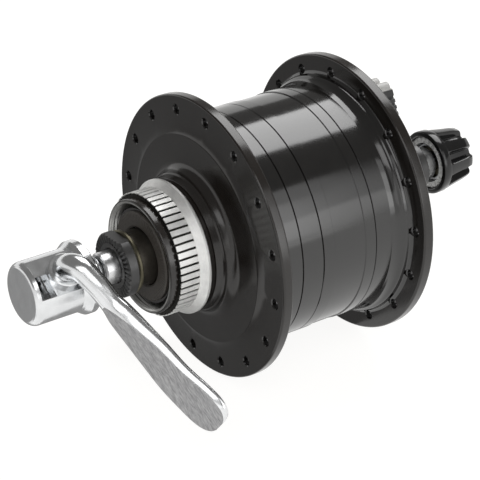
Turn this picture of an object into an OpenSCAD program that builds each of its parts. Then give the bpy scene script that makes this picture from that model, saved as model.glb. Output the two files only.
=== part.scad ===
// Bicycle front hub dynamo with a splined disc mount and a quick-release skewer.
// The wheel axle lies along Y. The origin is the middle of the disc-side locknut face,
// +Y points out of the hub on the disc side, +Z is up and +X is forward.

/* [Axle] */
// Distance between the two locknut faces
over_locknut = 100; // [98:1:104]
// How far each axle end stands out of its locknut
axle_end = 4; // [3:0.5:5]
// Diameter of the threaded axle ends
axle_d = 9; // [8.6:0.2:9.4]
// Diameter of the axle inside the stator
axle_mid_d = 12; // [11.6:0.2:12.6]
// Bore of the hollow axle
axle_bore_d = 5.6; // [5.5:0.1:5.9]

/* [Locknuts and cones] */
// Diameter of each locknut
locknut_d = 17.7; // [17:0.1:18.4]
// Distance across the two wrench flats of the disc-side locknut
locknut_flats = 15.5; // [15:0.1:16]
// Thickness of the disc-side locknut
locknut_h = 3.3; // [3:0.1:3.8]
// Number of serrations in each locknut face
serration_count = 36; // [24:1:40]
// Thickness of the disc-side washer
washer_h = 1.2; // [1:0.1:1.5]
// Diameter of the disc-side washer
washer_d = 17.2; // [16.4:0.2:17.6]
// Diameter of the far locknut
locknut_right_d = 13.6; // [13:0.1:14.4]
// Thickness of the far locknut
locknut_right_h = 3.8; // [3.4:0.1:4.2]
// Diameter of the cone body beside the seal
cone_d = 15.2; // [14.8:0.1:15.4]

/* [Bearings] */
// Diameter of the steel balls
ball_d = 4.76; // [4.5:0.02:4.9]
// Balls in each bearing
ball_count = 9; // [7:1:10]
// Radius of the circle of ball centres
ball_ring_r = 8.6; // [8.5:0.05:8.7]
// Distance of the disc-side ball centres from the disc-side locknut face
ball_left_depth = 14; // [13.8:0.1:14.4]
// Distance of the far ball centres from the far locknut face
ball_right_depth = 23.8; // [23.4:0.1:24.2]
// Outer diameter of the disc-side bearing cup
cup_left_d = 24.4; // [24:0.1:24.8]
// Outer diameter of the far bearing cup
cup_right_d = 24; // [23.6:0.1:24.4]

/* [Hub shell] */
// Outer diameter of the drum
drum_d = 63.8; // [62:0.2:66]
// Wall thickness of the drum
drum_wall = 3.5; // [3.2:0.1:4]
// Height of both spoke flanges above the drum
flange_height = 7.1; // [6.6:0.1:7.8]
// Thickness of the disc-side flange
flange_left_h = 3.05; // [2.8:0.05:3.4]
// Thickness of the far flange
flange_right_h = 3.2; // [2.8:0.1:3.6]
// Distance of the disc-side flange's outer face from the disc-side locknut face
flange_left_depth = 26.75; // [26.5:0.05:27.2]
// Distance between the flange faces that look at the disc side
flange_gap = 45.1; // [44.6:0.1:46]
// Distance of the circle of spoke holes from the rim of the flange
spoke_edge = 4; // [3.6:0.1:4.4]
// Diameter of each spoke hole
spoke_hole_d = 2.6; // [2.4:0.1:2.9]
// Spoke holes in each flange
spoke_count = 16; // [12:2:18]
// Angle of the first spoke hole of the disc-side flange
spoke_phase = 5.7; // [0:0.1:11]
// Distance of the first thin turned line from the disc-side flange face
line_1_depth = 11.15; // [10:0.05:12]
// Distance of the second thin turned line from the disc-side flange face
line_2_depth = 17.75; // [16:0.05:19]
// Distance of the wide recessed band from the disc-side flange face
band_front_depth = 21.65; // [20:0.05:23]
// Width of the wide recessed band round the drum
band_w = 9.65; // [8.5:0.05:11]
// Distance of the third thin turned line from the wide band
line_3_gap = 3.5; // [3:0.1:5]
// Depth of the wide recessed band round the drum
band_depth = 0.25; // [0.15:0.05:0.4]
// Depth of the thin turned lines round the drum
line_depth = 0.3; // [0.2:0.05:0.4]

/* [Disc mount] */
// How far the end cap stands in front of the flange
cap_proud = 1.15; // [0.8:0.05:1.4]
// Diameter of the boss that carries the spline ring
boss_d = 31; // [30.6:0.1:31.4]
// Inner diameter of the lock-ring thread in the boss
boss_thread_d = 28.8; // [28.4:0.1:29.2]
// Distance of the boss rim from the disc-side locknut face
boss_depth = 8.1; // [7.8:0.1:8.6]
// Diameter over the spline teeth
spline_d = 33.6; // [33:0.1:34]
// Number of spline teeth
spline_count = 52; // [40:1:60]
// Depth of the gaps between the spline teeth
spline_gap_depth = 0.8; // [0.5:0.1:1]
// Width of the gaps between the spline teeth
spline_gap_w = 0.55; // [0.4:0.05:0.7]
// Length of the spline teeth along the axle
spline_l = 5.6; // [5:0.1:6.4]
// Diameter of the stop flange behind the teeth
spline_flange_d = 36.8; // [36.4:0.1:37.4]

/* [Generator] */
// Claws on each of the two claw-pole halves
claw_count = 14; // [10:1:14]
// Thickness of the claw-pole plates and claws
claw_h = 1.6; // [1.2:0.1:1.8]
// Length of the stator along the axle
stator_l = 24; // [22:0.5:24]
// Distance of the stator's disc-side face from the disc-side locknut face
stator_depth = 40.5; // [39:0.5:41]
// Diameter of the iron core round the axle
core_d = 20; // [18:0.5:21]
// Gap between the coil bobbin and the claws round it
coil_gap = 1.2; // [0.8:0.1:1.6]
// Thickness of the ring magnet
magnet_h = 2.4; // [2:0.1:2.8]
// Thickness of the steel ring behind the magnet
back_ring_h = 1.3; // [1:0.1:1.6]
// Air gap between the claws and the ring magnet
air_gap = 0.4; // [0.3:0.05:0.6]

/* [Terminal] */
// Lean of the terminal block from upright, towards the front
terminal_lean = 6.5; // [0:0.5:12]
// Height of the terminal tower's top above the axle centre
terminal_top = 26.6; // [24:0.1:28]
// Length of the terminal block along the axle
terminal_l = 10.2; // [9.6:0.2:10.4]
// Distance of the terminal tower from the far end of the block
tower_inset = 5.7; // [5:0.1:6]
// Width of the terminal tower at its top
tower_top_w = 8.4; // [8:0.1:10]
// Depth of the grip grooves in the sides of the terminal tower
tower_groove_depth = 0.45; // [0.2:0.05:0.6]
// Diameter of the terminal block's collar round the axle
terminal_collar_d = 20; // [19:0.5:21]

/* [Quick-release lever] */
// Distance of the cam axis from the disc-side locknut face
cam_y = 16.15; // [16:0.05:16.4]
// Lean of the cam axis above level, seen along the axle
cam_lean = 54; // [30:1:80]
// Eccentric throw of the cam
cam_throw = 0.8; // [0.6:0.05:0.8]
// Diameter of the eccentric that pulls the rod
cam_d = 5.4; // [5.4:0.05:5.5]
// Diameter of the lever's large journal
journal_d = 7.12; // [7.1:0.02:7.2]
// Diameter of the lever's small journal
pivot_d = 3.7; // [3.5:0.05:3.7]
// Diameter of the housing barrel
barrel_d = 17; // [16.8:0.1:17.4]
// Diameter of the housing collar that faces the dropout
collar_d = 19.6; // [19.2:0.1:20]
// Distance of the collar face from the disc-side locknut face
collar_y = 8.8; // [8.4:0.1:9]
// Distance of the housing's end face from the disc-side locknut face
barrel_end_y = 27; // [26.6:0.1:27.6]
// Width of the paddle at the end of the lever
paddle_w = 11.6; // [10.8:0.2:12.4]
// Thickness of the paddle at the end of the lever
paddle_h = 3.4; // [3:0.1:3.8]
// Reach of the lever from the cam axis to its tip
lever_reach = 55.2; // [52:0.4:60]

/* [Skewer and nut] */
// Diameter of the skewer rod
rod_d = 5; // [4.8:0.05:5]
// Diameter of the steel grip rings on the lever housing and the nut
grip_ring_d = 15.2; // [15:0.1:15.6]
// Inner diameter of the grip rings
grip_bore_d = 11.6; // [11.4:0.1:12]
// Thickness of the grip rings
grip_ring_h = 2; // [1.8:0.1:2.2]
// Teeth on each grip ring
grip_teeth = 24; // [16:1:30]
// Distance of the nut's skirt from the far locknut face
nut_gap = 3.3; // [3.1:0.1:3.8]
// Length of the nut's skirt
nut_skirt_l = 2.6; // [2.2:0.1:3.2]
// Depth of the rod's tip inside the end of the nut
rod_tip_depth = 5.4; // [4.8:0.1:6]
// Diameter of the nut's skirt
nut_skirt_d = 18.2; // [17.8:0.1:18.8]
// Diameter over the lobes of the nut at its far end
nut_lobe_d = 15.6; // [15:0.1:16.4]
// Number of lobes round the nut
nut_lobes = 8; // [6:1:9]
// Length of the nut along the rod
nut_l = 12; // [11.4:0.1:12.6]
// Wire diameter of the volute springs
spring_wire_d = 0.8; // [0.7:0.05:0.9]

/* [Hidden] */
round_fn = 96;

// Clearances
running = 0.06;
free = 0.3;
// A cut runs this far past the face that it opens
past = 1;

// Places along the axle, all from the disc-side locknut face
far_face_y = -over_locknut;
flange_left_y = -flange_left_depth;
flange_left_back_y = flange_left_y - flange_left_h;
flange_right_y = flange_left_y - flange_gap;
flange_right_back_y = flange_right_y - flange_right_h;
cap_face_y = flange_left_y + cap_proud;
boss_y = -boss_depth;
stator_left_y = -stator_depth;
stator_right_y = stator_left_y - stator_l;
ball_left_y = -ball_left_depth;
ball_right_y = far_face_y + ball_right_depth;
washer_left_y = -locknut_h - washer_h;
washer_right_h = 0.8;
locknut_right_y = far_face_y + locknut_right_h;
washer_right_y = locknut_right_y + washer_right_h;
terminal_y = washer_right_y + terminal_l;
tower_y = washer_right_y + tower_inset;
tower_front_y = terminal_y + 1.5;

// Diameters from the drum inwards and outwards
flange_d = drum_d + 2 * flange_height;
spoke_circle_d = flange_d - 2 * spoke_edge;
drum_bore_d = drum_d - 2 * drum_wall;
cap_d = drum_bore_d + 0.6;
magnet_d = drum_bore_d - 2 * back_ring_h;
magnet_bore_d = magnet_d - 2 * magnet_h;
claw_d = magnet_bore_d - 2 * air_gap;
bobbin_d = claw_d - 2 * claw_h - 2 * coil_gap;

// Radii
axle_r = axle_d / 2;
axle_mid_r = axle_mid_d / 2;
axle_bore_r = axle_bore_d / 2;
ball_r = ball_d / 2;
cone_r = cone_d / 2;
flange_r = flange_d / 2;
drum_r = drum_d / 2;
drum_bore_r = drum_bore_d / 2;
cap_r = cap_d / 2;
boss_r = boss_d / 2;
spline_r = spline_d / 2;
claw_r = claw_d / 2;
rod_r = rod_d / 2;
cam_r = cam_d / 2;
journal_r = journal_d / 2;
barrel_r = barrel_d / 2;
collar_r = collar_d / 2;
grip_r = grip_ring_d / 2;
grip_bore_r = grip_bore_d / 2;
cup_left_r = cup_left_d / 2;
cup_right_r = cup_right_d / 2;

// Spline ring
spline_front_y = boss_y - 2.35;
spline_back_y = spline_front_y - 8.4;

// Nut that clamps the stator on the axle
clamp_nut_h = 0.75 * axle_mid_r;
clamp_nut_r = axle_mid_r + clamp_nut_h - 0.1;

// Cord groove in the axle
groove_w = 2.2;
groove_floor = 3.5;
lead_d = 0.9;
lead_x = 0.6;
lead_z = groove_floor + lead_d / 2;
lead_rise_y = stator_right_y - 1.2;
lead_rise_z = 13;
lead_end_y = terminal_y - 2.8;

// Terminal tower
tower_flare = 0.36;
tower_flare_h = 13;
tower_groove_pitch = 1.7;
contact_x = 2.2;
contact_foot_z = terminal_top - 9;

// Quick-release housing, measured along the cam axis and from it
slot_half = 2.8;
eye_half = slot_half - 0.4;
eye_slot_r = cam_r + 0.25;
eye_slot_x = cam_throw - 0.15;
eye_wall = 1.6;
flat_z = 6.4;
bushing_head_z = 8.1;
bushing_r = 4.4;
bushing_head_r = 4.7;
clip_z = -7.2;
clip_r = 3;
clip_h = 0.5;
recess_end_y = collar_y + 1.8;
grip_seat_y = collar_y + 0.7 * grip_ring_h;
slot_end_y = 22.4;

// Nut, measured from the far locknut face
nut_skirt_y = far_face_y - nut_gap;
nut_end_y = nut_skirt_y - nut_l;
nut_ring_y = nut_skirt_y - 0.4;
nut_seat_y = nut_ring_y - grip_ring_h;
nut_neck_y = nut_skirt_y - nut_skirt_l;
nut_core_r = 5.6;
nut_core_y = nut_seat_y - 0.7;
nut_floor_y = nut_end_y + 1;
rod_end_y = nut_end_y + rod_tip_depth;

// Building blocks

module along_y() rotate([-90, 0, 0]) children();

// A turned part: each point is a radius and a place along the axle
module turned(points) along_y() rotate_extrude($fn = round_fn) polygon(points);

// A round bar or bore between two places along the axle
module bar_y(r, y0, y1) translate([0, y0, 0]) along_y() cylinder(h = y1 - y0, r = r, $fn = round_fn);

// A flat plate with this outline, seen from the disc side, between two places along the axle
module plate_y(y0, y1) translate([0, y1, 0]) rotate([90, 0, 0]) linear_extrude(y1 - y0) children();

// Copies round the axle, counted from +X towards +Z
module around(count, phase = 0)
    for (i = [0 : count - 1]) rotate([0, -phase - i * 360 / count, 0]) children();

// The lever's own axes: X across the barrel, Y along the axle, Z along the cam axis
module cam_frame() translate([0, cam_y, 0]) rotate([0, cam_lean - 90, 0]) children();

// Points of an arc for a turned outline
function arc(cx, cy, r, a0, a1, n = 6) =
    [for (i = [0 : n]) let(a = a0 + (a1 - a0) * i / n) [cx + r * cos(a), cy + r * sin(a)]];

// A thin V line turned into a surface of radius r at place y
function v_line(r, y, d = line_depth) = [[r, y + d * 0.7], [r - d, y], [r, y - d * 0.7]];

// Axle group

module axle() color([0.62, 0.63, 0.62])
    difference() {
        turned([
            [axle_bore_r, far_face_y - axle_end], [axle_r - 0.4, far_face_y - axle_end],
            [axle_r, far_face_y - axle_end + 0.4], [axle_r, stator_right_y - 2.2],
            [axle_mid_r + 1.5, stator_right_y - 2.2], [axle_mid_r + 1.5, stator_right_y],
            [axle_mid_r, stator_right_y], [axle_mid_r, stator_left_y + 9],
            [axle_r, stator_left_y + 10.5], [axle_r, axle_end - 0.4], [axle_r - 0.4, axle_end],
            [axle_bore_r + 0.3, axle_end], [axle_bore_r, axle_end - 0.3]
        ]);
        translate([-groove_w / 2, lead_end_y - 1, groove_floor])
            cube([groove_w, stator_right_y - lead_end_y + 1, axle_mid_r]);
    }

module stator_core() color([0.42, 0.43, 0.45])
    turned([
        [axle_mid_r, stator_right_y + claw_h], [core_d / 2, stator_right_y + claw_h],
        [core_d / 2, stator_left_y - claw_h], [axle_mid_r, stator_left_y - claw_h]
    ]);

// One claw-pole half that lies on the side y0 and reaches along dir
module claw_pole(y0, dir, phase) {
    reach = stator_l - claw_h - 1;
    root_w = 4.4;
    tip_w = 2.8;
    y1 = y0 + dir * claw_h;
    difference() {
        bar_y(claw_r - 0.2, min(y0, y1), max(y0, y1));
        bar_y(axle_mid_r, min(y0, y1) - past, max(y0, y1) + past);
        translate([-groove_w / 2 - 0.4, y0 - claw_h - past, lead_rise_z - 1.1])
            cube([groove_w + 0.8, 2 * claw_h + 2 * past, 2.2]);
    }
    around(claw_count, phase)
        translate([claw_r - claw_h - 0.05, y0, 0])
            rotate([0, 90, 0]) linear_extrude(claw_h)
                polygon([
                    [-root_w / 2, dir * claw_h / 2], [root_w / 2, dir * claw_h / 2],
                    [tip_w / 2, dir * reach], [-tip_w / 2, dir * reach]
                ]);
}

module claw_pole_left() color([0.5, 0.51, 0.53]) claw_pole(stator_left_y, -1, 0);

module claw_pole_right() color([0.5, 0.51, 0.53]) claw_pole(stator_right_y, 1, 180 / claw_count);

module coil_bobbin() {
    y0 = stator_right_y + claw_h;
    y1 = stator_left_y - claw_h;
    wall = 1;
    color([0.86, 0.84, 0.78])
        turned([
            [core_d / 2, y0], [bobbin_d / 2, y0], [bobbin_d / 2, y0 + wall],
            [core_d / 2 + wall, y0 + wall], [core_d / 2 + wall, y1 - wall],
            [bobbin_d / 2, y1 - wall], [bobbin_d / 2, y1], [core_d / 2, y1]
        ]);
}

module coil_winding() {
    wall = 1;
    y0 = stator_right_y + claw_h + wall;
    y1 = stator_left_y - claw_h - wall;
    inner = core_d / 2 + wall;
    outer = bobbin_d / 2 - 1;
    color([0.72, 0.38, 0.16])
        turned([[inner, y0], [outer, y0], [outer + 0.3, y0 + 1], [outer + 0.3, y1 - 1], [outer, y1], [inner, y1]]);
}

module stator_clamp_nut() color([0.55, 0.55, 0.52])
    difference() {
        translate([0, stator_left_y, 0]) along_y() cylinder(h = clamp_nut_h, r = clamp_nut_r, $fn = 6);
        bar_y(axle_mid_r, stator_left_y - past, stator_left_y + clamp_nut_h + past);
    }

// Both leads run in the axle groove, from the coil to the terminal block
module lead_wires() color([0.78, 0.2, 0.14])
    for (side = [-1, 1]) translate([side * lead_x, 0, 0]) {
        lead_r = lead_d / 2;
        tail_z = 15;
        translate([0, 0, lead_z]) bar_y(lead_r, lead_end_y, lead_rise_y);
        translate([0, lead_rise_y, lead_z]) cylinder(h = lead_rise_z - lead_z, r = lead_r, $fn = 24);
        translate([0, lead_end_y, lead_z]) cylinder(h = tail_z - lead_z, r = lead_r, $fn = 24);
        translate([0, 0, lead_rise_z]) bar_y(lead_r, lead_rise_y, stator_right_y + claw_h);
        for (p = [[lead_rise_y, lead_z], [lead_end_y, lead_z], [lead_rise_y, lead_rise_z]])
            translate([0, p[0], p[1]]) sphere(r = lead_r, $fn = 24);
    }

// Race of a cone: a 45 degree surface that the balls touch, dir points to the locknut
function cone_race(ball_y, dir) =
    let(c = ball_r * cos(45) + 0.02, r = ball_ring_r - c, y = ball_y + dir * c)
    [[cone_r, y + dir * (cone_r - r)], [r - 1.2, y - dir * 1.2]];

module cone_left() {
    race = cone_race(ball_left_y, 1);
    color([0.2, 0.2, 0.19])
        difference() {
            turned(concat(
                [[axle_r, washer_left_y], [cone_r, washer_left_y]], race,
                [[axle_r + 0.7, ball_left_y - 1.5], [axle_r, ball_left_y - 1.5]]
            ));
            around(2, 60) translate([cone_r - 0.9, washer_left_y - 2.4, -cone_r])
                cube([cone_r, 2.4 + past, cone_d]);
        }
}

module cone_right() {
    race = cone_race(ball_right_y, -1);
    color([0.2, 0.2, 0.19])
        turned(concat(
            [[axle_r, terminal_y], [cone_r, terminal_y]], race,
            [[axle_r + 0.7, ball_right_y + 1.5], [axle_r, ball_right_y + 1.5]]
        ));
}

module washer_left() color([0.5, 0.49, 0.4])
    turned([
        [axle_r, washer_left_y], [washer_d / 2 - 0.3, washer_left_y], [washer_d / 2, washer_left_y + 0.3],
        [washer_d / 2, -locknut_h - 0.3], [washer_d / 2 - 0.3, -locknut_h], [axle_r, -locknut_h]
    ]);

module washer_right() color([0.5, 0.49, 0.4])
    turned([
        [axle_r, locknut_right_y], [locknut_right_d / 2 + 0.8, locknut_right_y],
        [locknut_right_d / 2 + 0.8, washer_right_y], [axle_r, washer_right_y]
    ]);

// Radial V grooves cut into a locknut face at place y, the plain ring inside stays whole
module serrations(y, plain_r) {
    depth = 0.35;
    around(serration_count, 90 / serration_count)
        translate([plain_r, y, 0]) rotate([45, 0, 0])
            translate([0, -depth, -depth]) cube([locknut_d, 2 * depth, 2 * depth]);
}

module locknut_left() {
    r = locknut_d / 2;
    color([0.09, 0.09, 0.09])
        difference() {
            turned([
                [axle_r, -locknut_h], [r - 0.5, -locknut_h], [r, -locknut_h + 0.5], [r, -0.5],
                [r - 0.5, 0], [axle_r + 0.5, 0], [axle_r, -0.5]
            ]);
            serrations(0, axle_r + 1.6);
            around(2, 86) translate([locknut_flats / 2, -locknut_h - past, -r])
                cube([r, locknut_h + 2 * past, 2 * r]);
        }
}

module locknut_right() {
    r = locknut_right_d / 2;
    color([0.09, 0.09, 0.09])
        difference() {
            turned([
                [axle_r, far_face_y + 0.5], [axle_r + 0.5, far_face_y], [r - 0.5, far_face_y],
                [r, far_face_y + 0.5], [r, locknut_right_y], [axle_r, locknut_right_y]
            ]);
            serrations(far_face_y, axle_r + 0.9);
        }
}

module ball_set(y) color([0.8, 0.81, 0.83])
    around(ball_count, 10) translate([ball_ring_r, y, 0]) sphere(r = ball_r, $fn = 32);

module ball_set_left() ball_set(ball_left_y);

module ball_set_right() ball_set(ball_right_y);

// Terminal

module terminal_frame() rotate([0, terminal_lean, 0]) children();

// Half width of the terminal tower at height z above the axle centre
function tower_half(z) = tower_top_w / 2 + tower_flare * min(terminal_top - z, tower_flare_h);

// One side of the tower, from the top down, with its grip grooves
tower_side = concat(
    [[tower_top_w / 2, terminal_top]],
    [for (i = [0 : 5]) let(z = terminal_top - 1.6 - i * tower_groove_pitch) each [
        [tower_half(z), z],
        [tower_half(z) - tower_groove_depth, z - 0.2],
        [tower_half(z - 0.7) - tower_groove_depth, z - 0.7],
        [tower_half(z - 0.9), z - 0.9]
    ]],
    [[tower_half(0), terminal_top - tower_flare_h]]
);

module tower_plate(y0, y1, foot_z) {
    foot = [[tower_half(0), foot_z]];
    half = concat(tower_side, foot);
    plate_y(y0, y1)
        polygon(concat(half, [for (i = [len(half) - 1 : -1 : 0]) [-half[i][0], half[i][1]]]));
}

module terminal_block() {
    slot_half = 1.4;
    color([0.13, 0.13, 0.14])
        difference() {
            union() {
                bar_y(terminal_collar_d / 2, washer_right_y, terminal_y);
                terminal_frame() {
                    tower_plate(tower_y, terminal_y, -6);
                    tower_plate(terminal_y - past, tower_front_y, terminal_top - tower_flare_h - 0.4);
                }
            }
            bar_y(axle_r, washer_right_y - past, terminal_y + past);
            translate([-groove_w / 2, lead_end_y - slot_half, 0]) cube([groove_w, 2 * slot_half, contact_foot_z - 1]);
            translate([-groove_w / 2, lead_end_y - slot_half, 0]) cube([groove_w, terminal_l, axle_r + 0.6]);
            terminal_frame() for (side = [-1, 1])
                translate([side * contact_x - 0.9, tower_y + 1.1, contact_foot_z])
                    cube([1.8, 4.4, terminal_top - contact_foot_z + past]);
        }
}

// Grey cover on the tower: two round ridges along the axle with the contact slots between and below
module terminal_cover() {
    back_y = tower_y + 0.2;
    cover_l = tower_front_y - tower_y - 0.4;
    ridge_r = 1.5;
    base_h = 0.3;
    half = tower_top_w / 2 - 0.1;
    color([0.74, 0.75, 0.74])
        terminal_frame() difference() {
            union() {
                translate([-half, back_y, terminal_top]) cube([2 * half, cover_l, base_h]);
                for (side = [-1, 1]) translate([side * contact_x, 0, terminal_top + base_h])
                    bar_y(ridge_r, back_y + 0.2, back_y + cover_l - 0.2);
            }
            translate([-2 * half, back_y - past, terminal_top - 2 * half]) cube([4 * half, cover_l + 2 * past, 2 * half]);
        }
}

module terminal_contacts() color([0.8, 0.66, 0.3])
    terminal_frame() for (side = [-1, 1])
        translate([side * contact_x - 0.3, tower_y + 1.4, contact_foot_z]) cube([0.6, 3.8, terminal_top - contact_foot_z - 0.4]);

// Hub shell and what turns with it

module spoke_holes(y, phase) {
    around(spoke_count, phase) translate([spoke_circle_d / 2, 0, 0]) bar_y(spoke_hole_d / 2, y - 6, y + 6);
}

module hub_shell() {
    edge = 0.6;
    fillet_left = 2.5;
    cone_w = 2.3;
    seat_end_y = flange_left_y - 3.85;
    root_r = drum_r + fillet_left;
    band_start_y = flange_left_y - band_front_depth;
    band_end_y = band_start_y - band_w;
    band_r = drum_r - band_depth;
    ring_r = drum_r + 1.45;
    color([0.1, 0.1, 0.11])
        difference() {
            turned(concat(
                [[cap_r, seat_end_y], [cap_r, cap_face_y - 0.15], [cap_r + cone_w, flange_left_y],
                 [flange_r - edge, flange_left_y], [flange_r, flange_left_y - edge],
                 [flange_r, flange_left_back_y + edge], [flange_r - edge, flange_left_back_y]],
                arc(root_r, flange_left_back_y - fillet_left, fillet_left, 90, 180),
                v_line(drum_r, flange_left_y - line_1_depth), v_line(drum_r, flange_left_y - line_2_depth),
                [[drum_r, band_start_y + 0.2], [band_r, band_start_y], [band_r, band_end_y], [drum_r, band_end_y - 0.2]],
                v_line(drum_r, band_end_y - line_3_gap),
                [[drum_r, flange_right_y + 5.2], [drum_r + 0.2, flange_right_y + 3.8],
                 [drum_r + 0.65, flange_right_y + 2.7], [ring_r, flange_right_y + 1.9],
                 [ring_r + 0.15, flange_right_y + 1.2], [ring_r + 0.9, flange_right_y + 0.3],
                 [ring_r + 1.7, flange_right_y],
                 [flange_r - edge, flange_right_y], [flange_r, flange_right_y - edge],
                 [flange_r, flange_right_back_y + edge], [flange_r - edge, flange_right_back_y],
                 [drum_r + 1.5, flange_right_back_y], [drum_r - 3, flange_right_back_y - 1.2],
                 [drum_r - 9, flange_right_back_y - 3.4], [cup_right_r + 4.2, flange_right_back_y - 5.9],
                 [cup_right_r + 3.2, flange_right_back_y - 7.2], [cup_right_r, flange_right_back_y - 7.5],
                 [cup_right_r, ball_right_y + 3], [ball_ring_r + 0.6, ball_right_y + 3],
                 [ball_ring_r + 0.6, ball_right_y + 4.6], [drum_bore_r - 1.6, ball_right_y + 4.6],
                 [drum_bore_r, ball_right_y + 6.2], [drum_bore_r, seat_end_y]]
            ));
            spoke_holes(flange_left_y, spoke_phase);
            spoke_holes(flange_right_y, spoke_phase + 180 / spoke_count);
        }
}

module end_cap() {
    thread_r = boss_thread_d / 2;
    groove_y = ball_left_y;
    carrier_r = cup_left_r + 0.7;
    shoulder_y = spline_back_y;
    root_y = shoulder_y - 3.7;
    root_r = boss_r + 3.55;
    seat_end_y = flange_left_y - 3.85;
    wall = 3;
    thread = 0.35;
    color([0.08, 0.08, 0.09])
        turned(concat(
            [[cup_left_r, boss_y - 1.5], [carrier_r, boss_y - 1.5], [carrier_r, groove_y], [thread_r, groove_y]],
            [for (i = [0 : 4]) each [[thread_r, groove_y + 0.6 + i * 1.05], [thread_r + thread, groove_y + 1.12 + i * 1.05]]],
            [[thread_r, boss_y - 0.25], [thread_r + 0.25, boss_y], [boss_r - 0.3, boss_y], [boss_r, boss_y - 0.3],
             [boss_r, shoulder_y], [spline_flange_d / 2 - 0.3, shoulder_y],
             [spline_flange_d / 2 - 0.3, shoulder_y - 1.1], [spline_flange_d / 2 - 0.7, shoulder_y - 1.3],
             [spline_flange_d / 2 - 0.3, shoulder_y - 1.5], [root_r - 0.5, root_y + 0.4], [root_r, root_y]],
            arc(root_r + 2.9, root_y + 0.1, 2.9, 180, 270, 5),
            [[root_r + 5.6, cap_face_y], [cap_r, cap_face_y], [cap_r, seat_end_y], [cap_r - 2.2, seat_end_y],
             [cap_r - 2.2, cap_face_y - wall], [boss_r - 1.5, cap_face_y - wall],
             [carrier_r + 0.1, ball_left_y - ball_d - 0.3], [ball_ring_r + 0.6, ball_left_y - ball_d + 0.7],
             [ball_ring_r + 0.6, ball_left_y - 3], [cup_left_r, ball_left_y - 3]]
        ));
}

// Toothed ring for the brake disc: a gear outline with narrow gaps, and a stop flange
module spline_ring() {
    pitch = 360 / spline_count;
    gap_half = spline_gap_w / spline_r * 90 / PI;
    root_r = spline_r - spline_gap_depth;
    teeth_end_y = spline_front_y - spline_l;
    color([0.82, 0.82, 0.81])
        difference() {
            union() {
                plate_y(teeth_end_y - 0.2, spline_front_y)
                    polygon([
                        for (i = [0 : spline_count - 1])
                            for (p = [[root_r, -gap_half], [root_r, gap_half * 0.6], [spline_r, gap_half],
                                      [spline_r, pitch / 2], [spline_r, pitch - gap_half * 1.2]])
                                let(a = 84.8 + i * pitch + p[1]) [p[0] * cos(a), p[0] * sin(a)]
                    ]);
                turned([
                    [boss_r, spline_back_y], [spline_flange_d / 2 - 0.25, spline_back_y],
                    [spline_flange_d / 2, spline_back_y + 0.3], [spline_flange_d / 2, spline_back_y + 0.9],
                    [spline_r + 0.06, teeth_end_y], [boss_r, teeth_end_y]
                ]);
            }
            bar_y(boss_r, spline_back_y - past, spline_front_y + past);
        }
}

// Four curved magnets that lie face to face in their steel ring
module magnet_ring() color([0.18, 0.18, 0.19])
    for (i = [0 : 3]) difference() {
        turned([
            [magnet_bore_d / 2, stator_right_y], [magnet_d / 2, stator_right_y],
            [magnet_d / 2, stator_left_y], [magnet_bore_d / 2, stator_left_y]
        ]);
        rotate([0, i * 90, 0]) {
            translate([-flange_r, stator_right_y - past, -flange_r]) cube([flange_d, stator_l + 2 * past, flange_r + 0.15]);
            translate([-flange_r, stator_right_y - past, -past]) cube([flange_r + 0.15, stator_l + 2 * past, flange_r + past]);
        }
    }

module magnet_back_ring() color([0.38, 0.39, 0.41])
    turned([
        [magnet_d / 2, stator_right_y], [drum_bore_r, stator_right_y],
        [drum_bore_r, stator_left_y], [magnet_d / 2, stator_left_y]
    ]);

// Bearing cup round the balls, dir points from the balls to the open side
module bearing_cup(outer_r, y, dir) {
    c = (ball_r + 0.08) * cos(45);
    wall_r = ball_ring_r + ball_r + 0.4;
    race_r = ball_ring_r + c;
    race_y = y - dir * c;
    lip_r = ball_ring_r + 0.6;
    color([0.66, 0.67, 0.69])
        turned([
            [outer_r, y + dir * 3.2], [outer_r, y - dir * 3], [lip_r, y - dir * 3],
            [lip_r, race_y - dir * (race_r - lip_r)],
            [wall_r, race_y + dir * (wall_r - race_r)], [wall_r, y + dir * 3.2]
        ]);
}

module bearing_cup_left() bearing_cup(cup_left_r, ball_left_y, 1);

module bearing_cup_right() bearing_cup(cup_right_r, ball_right_y, -1);

module seal_left() {
    top_y = boss_y - 0.6;
    lip_r = cone_r + free;
    color([0.14, 0.14, 0.14])
        turned([
            [lip_r, top_y - 0.3], [lip_r + 0.5, top_y], [cup_left_r - 0.35, top_y], [cup_left_r, top_y - 0.35],
            [cup_left_r, ball_left_y + 3.2], [cup_left_r - 1.3, ball_left_y + 3.2],
            [cup_left_r - 1.3, top_y - 1.2], [lip_r, top_y - 1.2]
        ]);
}

module seal_right() {
    top_y = flange_right_back_y - 7;
    lip_r = cone_r + free;
    color([0.14, 0.14, 0.14])
        turned([
            [lip_r, top_y], [lip_r, top_y + 1.2], [cup_right_r - 1.3, top_y + 1.2],
            [cup_right_r - 1.3, ball_right_y - 3.2], [cup_right_r, ball_right_y - 3.2], [cup_right_r, top_y]
        ]);
}

// Quick release, lever side

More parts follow.
